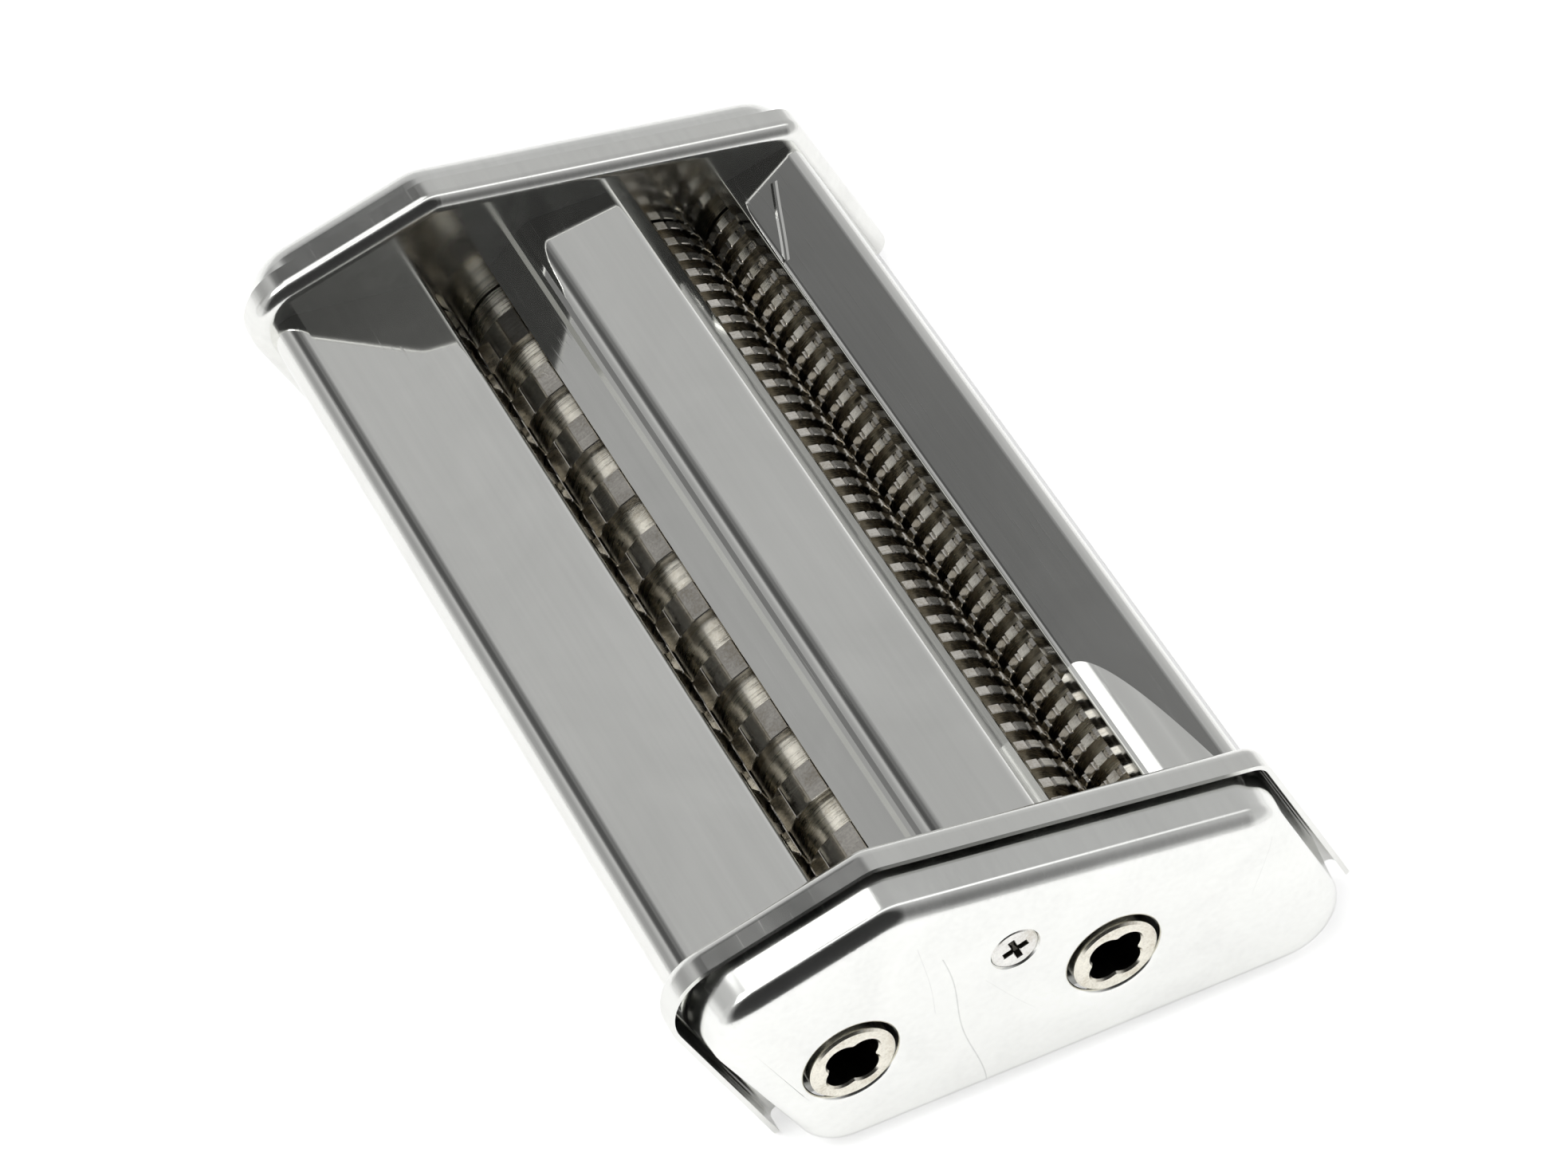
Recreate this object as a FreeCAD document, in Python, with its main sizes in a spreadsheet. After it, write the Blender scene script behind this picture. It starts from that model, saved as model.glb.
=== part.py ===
"""Double cutter head of a hand-cranked pasta machine.

Two pairs of interleaved cutter rollers, one for wide and one for narrow strips, run between
two flanged end plates under three bent steel sheets.  Millimetres, +Z up, Y along the rollers:
the crank end is at -Y and the gear end at +Y, with the origin at the bottom centre.
"""
import FreeCAD, Part
import math
import os
import Sketcher

V = FreeCAD.Vector
CRANK = -1
GEAR = 1

doc = FreeCAD.newDocument("CutterHead")
sizes = doc.addObject("Spreadsheet::Sheet", "Sizes")
places = doc.addObject("Spreadsheet::Sheet", "Places")

# Driving dimensions, in millimetres, degrees or counts
SIZES = [
    # end plates
    ("plate_sheet", 0.8),
    ("flange_depth", 5.2),
    ("bend_radius", 2.4),
    ("wide_wall_room", 18.7),
    ("narrow_wall_room", 18.25),
    ("plate_foot", 0.6),
    ("side_lean", 25.1),
    ("ridge_offset", 24.3),
    ("ridge_rise", 30.5),
    ("left_slope", 17.0),
    ("right_slope", 10.2),
    ("shoulder_radius", 9.0),
    ("ridge_radius", 6.0),
    ("corner_radius", 4.0),
    ("heel_cut", 7.0),
    ("heel_run", 11.0),
    # end covers
    ("cover_gap", 0.7),
    ("cover_sheet", 0.7),
    ("cover_reach", 12.7),
    ("cover_seat_gap", 1.6),
    ("cover_bend", 4.6),
    ("cover_corner_radius", 10.0),
    ("socket_hole_radius", 7.5),
    # cutter rollers
    ("axis_height", 20.7),
    ("wide_drive_offset", 31.7),
    ("pair_gap", 22.95),
    ("gear_module", 1.2),
    ("gear_teeth", 16),
    ("gear_backlash", 0.14),
    ("gear_width", 6.0),
    ("pressure_angle", 20.0),
    ("disc_overlap", 1.4),
    ("disc_side_gap", 0.2),
    ("core_gap", 0.5),
    ("roller_end_gap", 0.3),
    ("narrow_step", 2.0),
    ("narrow_steps", 73),
    ("wide_steps", 22),
    ("narrow_facets", 26),
    ("wide_facets", 20),
    # shafts and bushes
    ("socket_radius", 6.75),
    ("socket_proud", 0.4),
    ("socket_chamfer", 0.3),
    ("lobe_count", 4),
    ("lobe_core", 3.3),
    ("lobe_offset", 2.1),
    ("lobe_radius", 2.45),
    ("journal_radius", 4.5),
    ("gear_seat_radius", 4.0),
    ("bush_wall", 1.7),
    ("bush_collar", 1.3),
    ("bush_collar_width", 1.2),
    ("bush_sleeve", 3.4),
    ("running_gap", 0.04),
    ("fit_gap", 0.02),
    ("gear_stand_off", 0.5),
    ("shaft_tail", 1.0),
    ("clip_width", 0.7),
    ("clip_groove_depth", 0.8),
    ("clip_rim", 2.2),
    ("clip_play", 0.1),
    ("clip_mouth", 2.0),
    # combs and their rods
    ("comb_angle", 80.0),
    ("comb_tip_angle", 25.0),
    ("comb_gap", 0.35),
    ("finger_gap", 0.35),
    ("comb_hub_radius", 3.2),
    ("rod_radius", 2.0),
    ("rod_head_radius", 3.2),
    ("rod_head_width", 1.0),
    # bent sheets
    ("panel_sheet", 0.8),
    ("panel_inset", 2.5),
    ("panel_foot", 4.0),
    ("slot_lip", 2.8),
    ("lip_angle", 65.0),
    ("lip_bend", 1.5),
    ("left_slot_reach", 5.3),
    ("left_tray_rise", 3.9),
    ("left_tray_slope", 7.9),
    ("left_tray_bend", 4.0),
    ("right_slot_reach", 5.15),
    ("right_tray_rise", 2.6),
    ("right_tray_slope", 16.0),
    ("right_tray_bend", 2.5),
    ("roof_slot_reach", 5.6),
    ("roof_right_reach", 10.35),
    ("roof_gap", 2.4),
    ("roof_rise", 7.0),
    ("roof_left_flank", 45.0),
    ("roof_lip", 3.0),
    ("roof_right_run", 4.4),
    ("roof_bend", 4.0),
    ("roof_right_bend", 1.6),
    # cover screws and posts
    ("screw_reach", 6.8),
    ("screw_rise", 10.5),
    ("gear_screw_rise", 15.8),
    ("screw_radius", 2.0),
    ("screw_head_radius", 3.8),
    ("screw_head_depth", 2.0),
    ("screw_length", 8.0),
    ("dimple_wall", 0.9),
    ("post_radius", 3.5),
]

# Places worked out from the sizes
PLACES = [
    ("wide_half_length", "Sizes.narrow_step * Sizes.narrow_steps / 2"),
    ("wide_step", "2 * wide_half_length / Sizes.wide_steps"),
    ("wide_disc_width", "wide_step - Sizes.disc_side_gap"),
    ("narrow_disc_width", "Sizes.narrow_step - Sizes.disc_side_gap"),
    ("wide_finger_width", "wide_step + Sizes.disc_side_gap - 2 * Sizes.finger_gap"),
    ("narrow_finger_width", "Sizes.narrow_step + Sizes.disc_side_gap - 2 * Sizes.finger_gap"),
    ("half_gap", "wide_half_length + Sizes.roller_end_gap"),
    ("plate_gap", "2 * half_gap"),
    ("pair_spacing", "Sizes.gear_module * Sizes.gear_teeth"),
    ("disc_radius", "(pair_spacing + Sizes.disc_overlap) / 2"),
    ("core_radius", "pair_spacing - disc_radius - Sizes.core_gap"),
    ("wide_drive_x", "-Sizes.wide_drive_offset"),
    ("wide_idler_x", "wide_drive_x + pair_spacing"),
    ("narrow_drive_x", "wide_idler_x + Sizes.pair_gap"),
    ("narrow_idler_x", "narrow_drive_x + pair_spacing"),
    ("wide_middle_x", "(wide_drive_x + wide_idler_x) / 2"),
    ("narrow_middle_x", "(narrow_drive_x + narrow_idler_x) / 2"),
    ("plate_left_reach", "Sizes.wide_wall_room - wide_drive_x"),
    ("plate_right_reach", "narrow_idler_x + Sizes.narrow_wall_room"),
    ("ridge_height", "Sizes.axis_height + Sizes.ridge_rise"),
    ("roller_top", "Sizes.axis_height + disc_radius"),
    ("flat_outside", "disc_radius + Sizes.disc_overlap"),
    ("wide_flat", "disc_radius * cos(180 / Sizes.wide_facets)"),
    ("wide_flat_half", "disc_radius * sin(180 / Sizes.wide_facets)"),
    ("narrow_flat", "disc_radius * cos(180 / Sizes.narrow_facets)"),
    ("narrow_flat_half", "disc_radius * sin(180 / Sizes.narrow_facets)"),
    ("web_outer", "half_gap + Sizes.plate_sheet"),
    ("cover_face", "half_gap + Sizes.cover_reach"),
    ("cover_edge", "web_outer + Sizes.cover_seat_gap"),
    ("cover_depth", "cover_face - cover_edge"),
    ("cover_inset", "Sizes.plate_sheet + Sizes.cover_gap"),
    ("bush_collar_out", "Sizes.plate_sheet + Sizes.bush_collar_width"),
    ("bush_sleeve_out", "bush_collar_out + Sizes.bush_sleeve"),
    ("bush_out", "half_gap + bush_collar_out"),
    ("bush_end", "half_gap + bush_sleeve_out"),
    ("gear_start", "bush_out + Sizes.gear_stand_off"),
    ("gear_end", "gear_start + Sizes.gear_width"),
    ("clip_start", "gear_end + Sizes.clip_play"),
    ("clip_end", "clip_start + Sizes.clip_width"),
    ("groove_end", "clip_end + Sizes.clip_play"),
    ("shaft_end", "groove_end + Sizes.shaft_tail"),
    ("groove_radius", "Sizes.gear_seat_radius - Sizes.clip_groove_depth"),
    ("clip_bore", "groove_radius + Sizes.fit_gap"),
    ("clip_radius", "Sizes.gear_seat_radius + Sizes.clip_rim"),
    ("socket_face", "cover_face + Sizes.socket_proud"),
    ("socket_length", "socket_face - wide_half_length"),
    ("journal_bore", "Sizes.journal_radius + Sizes.running_gap"),
    ("hub_bore", "Sizes.socket_radius + Sizes.running_gap"),
    ("journal_bush", "journal_bore + Sizes.bush_wall"),
    ("hub_bush", "hub_bore + Sizes.bush_wall"),
    ("journal_collar", "journal_bush + Sizes.bush_collar"),
    ("hub_collar", "hub_bush + Sizes.bush_collar"),
    ("journal_seat", "journal_bush + Sizes.fit_gap"),
    ("hub_seat", "hub_bush + Sizes.fit_gap"),
    ("hub_distance", "disc_radius + Sizes.comb_hub_radius + Sizes.comb_gap"),
    ("hub_aside", "hub_distance * cos(Sizes.comb_angle)"),
    ("hub_drop", "hub_distance * sin(Sizes.comb_angle)"),
    ("hub_level", "-hub_drop"),
    ("hub_outside", "hub_aside + Sizes.comb_hub_radius"),
    ("hub_inside", "hub_aside - Sizes.comb_hub_radius"),
    ("rod_z", "Sizes.axis_height - hub_drop"),
    ("rod_seat", "Sizes.rod_radius + Sizes.fit_gap"),
    ("wide_drive_rod_x", "wide_drive_x + hub_aside"),
    ("wide_idler_rod_x", "wide_idler_x - hub_aside"),
    ("narrow_drive_rod_x", "narrow_drive_x + hub_aside"),
    ("narrow_idler_rod_x", "narrow_idler_x - hub_aside"),
    ("rod_tip", "web_outer + Sizes.rod_head_width"),
    ("comb_reach", "core_radius + Sizes.comb_gap"),
    ("tip_x", "comb_reach * cos(Sizes.comb_tip_angle)"),
    ("tip_z", "-comb_reach * sin(Sizes.comb_tip_angle)"),
    ("screw_x", "wide_idler_x + Sizes.screw_reach"),
    ("screw_height", "Sizes.axis_height + Sizes.screw_rise"),
    ("gear_screw_height", "Sizes.axis_height + Sizes.gear_screw_rise"),
    ("gear_screw_x", "(wide_idler_x + narrow_drive_x) / 2"),
    ("sink_radius", "Sizes.screw_head_radius + Sizes.fit_gap"),
    ("shank_hole", "Sizes.screw_radius + Sizes.fit_gap"),
    ("dimple_radius", "sink_radius + Sizes.dimple_wall"),
    ("dimple_depth", "Sizes.screw_head_depth + Sizes.cover_sheet"),
    ("head_bottom", "cover_face - Sizes.screw_head_depth"),
    ("screw_tip", "cover_face - Sizes.screw_length"),
    ("dimple_back", "cover_face - dimple_depth"),
    ("roof_foot", "roller_top + Sizes.roof_gap"),
    ("roof_height", "roof_foot + Sizes.roof_rise"),
    ("roof_left_foot", "wide_middle_x + Sizes.roof_slot_reach"),
    ("roof_left_x", "roof_left_foot + Sizes.roof_rise / tan(Sizes.roof_left_flank)"),
    ("roof_right_x", "narrow_middle_x - Sizes.roof_right_reach"),
    ("roof_right", "roof_right_x - Sizes.roof_right_run"),
    ("roof_right_z", "roof_foot + Sizes.roof_lip"),
    ("left_tray_edge_x", "wide_middle_x - Sizes.left_slot_reach"),
    ("left_tray_height", "roller_top + Sizes.left_tray_rise"),
    ("right_tray_edge_x", "narrow_middle_x + Sizes.right_slot_reach"),
    ("right_tray_height", "roller_top + Sizes.right_tray_rise"),
]


def fill(sheet, rows, formula):
    """Write one alias and its value or formula per row."""
    for row, (alias, value) in enumerate(rows, start=1):
        sheet.set(f"A{row}", alias)
        sheet.set(f"B{row}", f"={value}" if formula else str(value))
        sheet.setAlias(f"B{row}", alias)


fill(sizes, SIZES, False)
doc.recompute()


def outline_rows(name, inset):
    """Corners of the end plate's outline, drawn in by an inset."""
    lean = "tan(Sizes.side_lean)"
    left = "tan(Sizes.left_slope)"
    right = "tan(Sizes.right_slope)"
    wall = f"({inset}) / cos(Sizes.side_lean)"
    fall = f"({inset}) / cos(Sizes.left_slope)"
    drop = f"({inset}) / cos(Sizes.right_slope)"
    crown = f"{name}_ridge_z - Sizes.axis_height"
    return [
        (f"{name}_left", f"plate_left_reach - {wall}"),
        (f"{name}_right", f"plate_right_reach - {wall}"),
        (f"{name}_ridge_x", f"({fall} - {drop}) / ({left} + {right}) - Sizes.ridge_offset"),
        (f"{name}_ridge_z",
         f"ridge_height - {fall} + {left} * ({name}_ridge_x + Sizes.ridge_offset)"),
        (f"{name}_left_x",
         f"-({name}_left + {lean} * ({crown} - {left} * {name}_ridge_x)) / (1 + {lean} * {left})"),
        (f"{name}_left_z", f"{name}_ridge_z - {left} * ({name}_ridge_x - {name}_left_x)"),
        (f"{name}_right_x",
         f"({name}_right - {lean} * ({crown} + {right} * {name}_ridge_x)) / (1 - {lean} * {right})"),
        (f"{name}_right_z", f"{name}_ridge_z - {right} * ({name}_right_x - {name}_ridge_x)"),
    ]


def foot_rows(name, foot):
    """Where the leaning sides of an outline meet a foot height."""
    shift = f"tan(Sizes.side_lean) * (Sizes.axis_height - {foot})"
    return [
        (f"{name}_left_foot", f"{shift} - {name}_left"),
        (f"{name}_right_foot", f"{shift} + {name}_right"),
    ]


def tray_rows(name, side):
    """Lip and outer corner of a tray; side is -1 on the left and 1 on the right."""
    lean = "tan(Sizes.side_lean)"
    slope = f"tan(Sizes.{name}_slope)"
    wall = "panel_left" if side < 0 else "panel_right"
    edge = f"{side} * {name}_edge_x"
    level = f"({name}_height - {slope} * {edge} - Sizes.axis_height)"
    return [
        (f"{name}_lip_x", f"{name}_edge_x - {side} * Sizes.slot_lip * cos(Sizes.lip_angle)"),
        (f"{name}_lip_z", f"{name}_height - Sizes.slot_lip * sin(Sizes.lip_angle)"),
        (f"{name}_corner_x",
         f"{side} * ({wall} - {side} * {lean} * {level}) / (1 + {side} * {lean} * {slope})"),
        (f"{name}_corner_z", f"{name}_height + {slope} * ({side} * {name}_corner_x - {edge})"),
    ]


PLACES += outline_rows("plate", "0")
PLACES += foot_rows("plate", "Sizes.plate_foot")
PLACES += [
    ("heel_x", "plate_right_foot - Sizes.heel_run"),
    ("heel_out", "plate_right_foot + Sizes.heel_run"),
    ("heel_side", "plate_right_foot - tan(Sizes.side_lean) * (Sizes.heel_cut - Sizes.plate_foot)"),
]
PLACES += outline_rows("cover", "cover_inset")
PLACES += foot_rows("cover", "0")
PLACES += outline_rows("panel", "Sizes.panel_inset")
PLACES += foot_rows("panel", "Sizes.panel_foot")
PLACES += tray_rows("left_tray", -1)
PLACES += tray_rows("right_tray", 1)
fill(places, PLACES, True)
doc.recompute()

SIZE_NAMES = [alias for alias, value in SIZES]


def ref(alias):
    """Expression path of an alias, which may carry a minus sign."""
    sign = "-" if alias.startswith("-") else ""
    bare = alias.lstrip("-")
    return sign + ("Sizes." if bare in SIZE_NAMES else "Places.") + bare


def number(alias):
    """Value of an alias, which may carry a minus sign."""
    bare = alias.lstrip("-")
    sheet = sizes if bare in SIZE_NAMES else places
    return -sheet.get(bare) if alias.startswith("-") else float(sheet.get(bare))


def new_body(label):
    body = doc.addObject("PartDesign::Body", label)
    body.Label = label
    return body


def move(item, x="", y="", z=""):
    """Bind the place of an object to named values."""
    for axis, alias in (("x", x), ("y", y), ("z", z)):
        if alias:
            item.setExpression(f"Placement.Base.{axis}", ref(alias))


def new_sketch(body, name, plane, offset=""):
    """Empty sketch on an origin plane, shifted along the plane's normal by a named offset."""
    sketch = body.newObject("Sketcher::SketchObject", name)
    support = [item for item in body.Origin.OriginFeatures if item.Role == plane][0]
    sketch.AttachmentSupport = (support, [""])
    sketch.MapMode = "FlatFace"
    if offset:
        sketch.setExpression("AttachmentOffset.Base.z", ref(offset))
    return sketch


def pin_point(sketch, item, spot, place):
    """Hold one sketch point at a pair of aliases, where 0 means on the axis."""
    for kind, axis, alias in (("DistanceX", -2, place[0]), ("DistanceY", -1, place[1])):
        if alias == "0":
            sketch.addConstraint(Sketcher.Constraint("PointOnObject", item, spot, axis))
        else:
            index = sketch.addConstraint(Sketcher.Constraint(kind, -1, 1, item, spot, number(alias)))
            sketch.setExpression(f"Constraints[{index}]", ref(alias))


def spot_of(place):
    return V(*[0 if alias == "0" else number(alias) for alias in place], 0)


def polygon(body, name, plane, corners, offset=""):
    """Closed straight-sided sketch whose corners are pairs of aliases."""
    sketch = new_sketch(body, name, plane, offset)
    count = len(corners)
    for index in range(count):
        start = spot_of(corners[index])
        end = spot_of(corners[(index + 1) % count])
        sketch.addGeometry(Part.LineSegment(start, end))
    for index in range(count):
        sketch.addConstraint(Sketcher.Constraint("Coincident", index, 2, (index + 1) % count, 1))
    for index, corner in enumerate(corners):
        pin_point(sketch, index, 1, corner)
    return sketch


def circle(body, name, plane, radius, centre=("0", "0"), offset=""):
    """Sketch of one circle with a named radius."""
    sketch = new_sketch(body, name, plane, offset)
    sketch.addGeometry(Part.Circle(spot_of(centre), V(0, 0, 1), number(radius)))
    index = sketch.addConstraint(Sketcher.Constraint("Radius", 0, number(radius)))
    sketch.setExpression(f"Constraints[{index}]", ref(radius))
    pin_point(sketch, 0, 3, centre)
    return sketch


def pad(body, sketch, length, toward=0):
    """Pad along Y toward the crank end, toward the gear end or to both sides."""
    item = body.newObject("PartDesign::Pad", sketch.Name + "Pad")
    item.Profile = sketch
    item.Reversed = toward == GEAR
    if toward == 0:
        item.SideType = "Symmetric"
    item.setExpression("Length", ref(length))
    doc.recompute()
    return item


def cut_through(body, sketch):
    """Pocket through everything on both sides of the sketch."""
    before = body.Shape.Volume
    item = body.newObject("PartDesign::Pocket", sketch.Name + "Pocket")
    item.Profile = sketch
    item.SideType = "Symmetric"
    item.Type = "ThroughAll"
    doc.recompute()
    if body.Shape.Volume >= before:
        raise RuntimeError(f"{item.Name} cuts nothing")
    return item


def round_edges(body, name, radius, wanted):
    """Fillet the edges of the body's tip that pass a test."""
    tip = body.Tip
    names = [f"Edge{index}" for index, edge in enumerate(tip.Shape.Edges, 1) if wanted(edge)]
    item = body.newObject("PartDesign::Fillet", name)
    item.Base = (tip, names)
    item.setExpression("Radius", ref(radius))
    doc.recompute()
    return item


def hollow(body, name, sheet, open_faces):
    """Shell the body's tip inward to a sheet, leaving some faces open."""
    tip = body.Tip
    names = [f"Face{index}" for index, face in enumerate(tip.Shape.Faces, 1) if open_faces(face)]
    item = body.newObject("PartDesign::Thickness", name)
    item.Base = (tip, names)
    item.Reversed = True
    item.Join = "Intersection"
    item.setExpression("Value", ref(sheet))
    doc.recompute()
    return item


NEAR = 0.01


def corner_at(corner):
    """Test for an edge along Y through a corner of the outline."""
    spot = spot_of(corner)

    def test(edge):
        return len(edge.Vertexes) == 2 and all(
            abs(point.X - spot.x) < NEAR and abs(point.Z - spot.y) < NEAR for point in edge.Vertexes)

    return test


def flat_at(axis, level):
    """Test for a face or an edge lying in the plane where an axis has one level."""

    def test(item):
        box = item.BoundBox
        low, high = {"x": (box.XMin, box.XMax), "y": (box.YMin, box.YMax), "z": (box.ZMin, box.ZMax)}[axis]
        return abs(low - level) < NEAR and abs(high - level) < NEAR

    return test


def revolved(body, name, corners):
    """Turned piece: corners are pairs of radius and place along Y."""
    sketch = polygon(body, name, "XY_Plane", corners)
    item = body.newObject("PartDesign::Revolution", name + "Turn")
    item.Profile = sketch
    item.ReferenceAxis = (sketch, ["V_Axis"])
    doc.recompute()
    return item


def repeat(body, feature, count, span):
    """Repeat a feature along Y, evenly over a span toward the crank end."""
    item = body.newObject("PartDesign::LinearPattern", feature.Name + "Row")
    item.Originals = [feature]
    axis = [part for part in body.Origin.OriginFeatures if part.Role == "Y_Axis"][0]
    item.Direction = (axis, [""])
    item.Reversed = True
    item.Mode = "Extent"
    item.setExpression("Occurrences", count)
    item.setExpression("Length", span)
    body.Tip = item
    doc.recompute()
    return item


def group(label, members):
    """One node of several equal solids."""
    item = doc.addObject("Part::Compound", label)
    item.Label = label
    item.Links = members
    doc.recompute()
    return item


nodes = []


def end_plate(label, side):
    """Stamped end plate: a web with a flange folded outward round its top and both sides."""
    body = new_body(label)
    corners = [
        ("plate_left_foot", "plate_foot"),
        ("plate_left_x", "plate_left_z"),
        ("plate_ridge_x", "plate_ridge_z"),
        ("plate_right_x", "plate_right_z"),
        ("plate_right_foot", "plate_foot"),
    ]
    web = polygon(body, label + "Outline", "XZ_Plane", corners)
    pad(body, web, "flange_depth", side)
    round_edges(body, label + "Shoulder", "shoulder_radius", corner_at(corners[1]))
    round_edges(body, label + "Ridge", "ridge_radius", corner_at(corners[2]))
    round_edges(body, label + "Corner", "corner_radius", corner_at(corners[3]))
    foot = flat_at("z", number("plate_foot"))
    inner = flat_at("y", 0)
    round_edges(body, label + "Bend", "bend_radius", lambda edge: inner(edge) and not foot(edge))
    outer = flat_at("y", side * number("flange_depth"))
    hollow(body, label + "Fold", "plate_sheet", lambda face: foot(face) or outer(face))
    heel = [
        ("heel_x", "plate_foot"),
        ("heel_out", "plate_foot"),
        ("heel_out", "heel_cut"),
        ("heel_side", "heel_cut"),
    ]
    cut_through(body, polygon(body, label + "Heel", "XZ_Plane", heel))
    for pair in ("wide", "narrow"):
        for role in ("drive", "idler"):
            seat = "hub_seat" if side == CRANK and role == "drive" else "journal_seat"
            hole = circle(body, f"{label}{pair}{role}Seat", "XZ_Plane", seat,
                          (f"{pair}_{role}_x", "axis_height"))
            cut_through(body, hole)
            rod = circle(body, f"{label}{pair}{role}Rod", "XZ_Plane", "rod_seat",
                         (f"{pair}_{role}_rod_x", "rod_z"))
            cut_through(body, rod)
    move(body, y="-half_gap" if side == CRANK else "half_gap")
    nodes.append(body)


def end_cover(label, side):
    """Drawn cap that sits inside the flange, with a countersunk dimple for its screw."""
    body = new_body(label)
    corners = [
        ("cover_left_foot", "0"),
        ("cover_left_x", "cover_left_z"),
        ("cover_ridge_x", "cover_ridge_z"),
        ("cover_right_x", "cover_right_z"),
        ("cover_right_foot", "0"),
    ]
    cap = polygon(body, label + "Outline", "XZ_Plane", corners)
    pad(body, cap, "cover_depth", side)
    for index, corner in enumerate(corners):
        round_edges(body, f"{label}Corner{index}", "cover_corner_radius", corner_at(corner))
    face = flat_at("y", side * number("cover_depth"))
    round_edges(body, label + "Bend", "cover_bend", face)
    hollow(body, label + "Shell", "cover_sheet", flat_at("y", 0))
    screw = ("screw_x", "screw_height") if side == CRANK else ("gear_screw_x", "gear_screw_height")
    back = circle(body, label + "Dimple", "XZ_Plane", "dimple_radius", screw,
                  "cover_depth" if side == CRANK else "-cover_depth")
    pad(body, back, "dimple_depth", -side)
    sink = circle(body, label + "Sink", "XZ_Plane", "sink_radius", screw,
                  "cover_depth" if side == CRANK else "-cover_depth")
    cone = body.newObject("PartDesign::Pocket", label + "Cone")
    cone.Profile = sink
    cone.Reversed = side == GEAR
    cone.setExpression("Length", ref("dimple_depth"))
    cone.setExpression("TaperAngle", "-atan((Places.sink_radius - Places.shank_hole) / Places.dimple_depth)")
    doc.recompute()
    if side == CRANK:
        for pair in ("wide", "narrow"):
            hole = circle(body, label + pair + "Hole", "XZ_Plane", "socket_hole_radius",
                          (f"{pair}_drive_x", "axis_height"))
            cut_through(body, hole)
    move(body, y="-cover_edge" if side == CRANK else "cover_edge")
    nodes.append(body)


def row_start(sketch, pair, index, inset):
    """Place a sketch at the gear-end face of one step of a roller, drawn in by an inset."""
    sketch.setExpression("AttachmentOffset.Base.z",
                         f"{index} * {STEP[pair]} + {inset} - Places.wide_half_length")


STEP = {"wide": "Places.wide_step", "narrow": "Sizes.narrow_step"}


def step_count(pair, index):
    """How many of every second step there are, counted from step 0 or step 1."""
    return f"floor((Sizes.{pair}_steps + {1 - index}) / 2)"


def around(body, feature, name, count):
    """Repeat a feature evenly about the Y axis."""
    item = body.newObject("PartDesign::PolarPattern", name)
    item.Originals = [feature]
    axis = [part for part in body.Origin.OriginFeatures if part.Role == "Y_Axis"][0]
    item.Axis = (axis, [""])
    item.Angle = 360
    item.setExpression("Occurrences", ref(count))
    body.Tip = item
    doc.recompute()


def facets(body, label, pair):
    """Flats milled along a roller, so that its discs have many-sided gripping rims."""
    near, far, half = f"{pair}_flat", "flat_outside", f"{pair}_flat_half"
    corners = [(near, "-" + half), (far, "-" + half), (far, half), (near, half)]
    flat = cut_through(body, polygon(body, label + "Flat", "XZ_Plane", corners))
    around(body, flat, label + "Facets", f"{pair}_facets")


def socket_hub(pair):
    """Hub on the crank end of a driven shaft: its round core hole has four lobes for the crank."""
    label = f"{pair}_socket_hub"
    body = new_body(label)
    face = circle(body, label + "Rim", "XZ_Plane", "socket_radius", offset="socket_face")
    pad(body, face, "socket_length", GEAR)
    cut_through(body, circle(body, label + "Core", "XZ_Plane", "lobe_core"))
    lobe = circle(body, label + "Lobe", "XZ_Plane", "lobe_radius", ("lobe_offset", "lobe_offset"))
    around(body, cut_through(body, lobe), label + "Lobes", "lobe_count")
    chamfer = body.newObject("PartDesign::Chamfer", label + "Chamfer")
    tip = chamfer.BaseFeature
    front = flat_at("y", -number("socket_face"))
    names = [f"Edge{index}" for index, edge in enumerate(tip.Shape.Edges, 1) if front(edge)]
    chamfer.Base = (tip, names)
    chamfer.setExpression("Size", ref("socket_chamfer"))
    doc.recompute()
    move(body, f"{pair}_drive_x", "", "axis_height")
    nodes.append(body)


def cutter(pair, role):
    """Cutter roller turned with its shaft: a row of discs stands on a plain core."""
    label = f"{pair}_{role}_cutter"
    body = new_body(label)
    first = 0 if role == "drive" else 1
    journal = [("0", "-bush_end"), ("journal_radius", "-bush_end"), ("journal_radius", "-wide_half_length")]
    revolved(body, label + "Shaft", ([("0", "-wide_half_length")] if role == "drive" else journal) + [
        ("core_radius", "-wide_half_length"),
        ("core_radius", "wide_half_length"),
        ("journal_radius", "wide_half_length"),
        ("journal_radius", "gear_start"),
        ("gear_seat_radius", "gear_start"),
        ("gear_seat_radius", "gear_end"),
        ("groove_radius", "gear_end"),
        ("groove_radius", "groove_end"),
        ("gear_seat_radius", "groove_end"),
        ("gear_seat_radius", "shaft_end"),
        ("0", "shaft_end"),
    ])
    rim = circle(body, label + "Rim", "XZ_Plane", "disc_radius")
    row_start(rim, pair, first, "Sizes.disc_side_gap / 2")
    disc = pad(body, rim, f"{pair}_disc_width", CRANK)
    count = step_count(pair, first)
    repeat(body, disc, count, f"2 * {STEP[pair]} * ({count} - 1)")
    facets(body, label, pair)
    move(body, f"{pair}_{role}_x", "", "axis_height")
    nodes.append(body)


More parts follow.
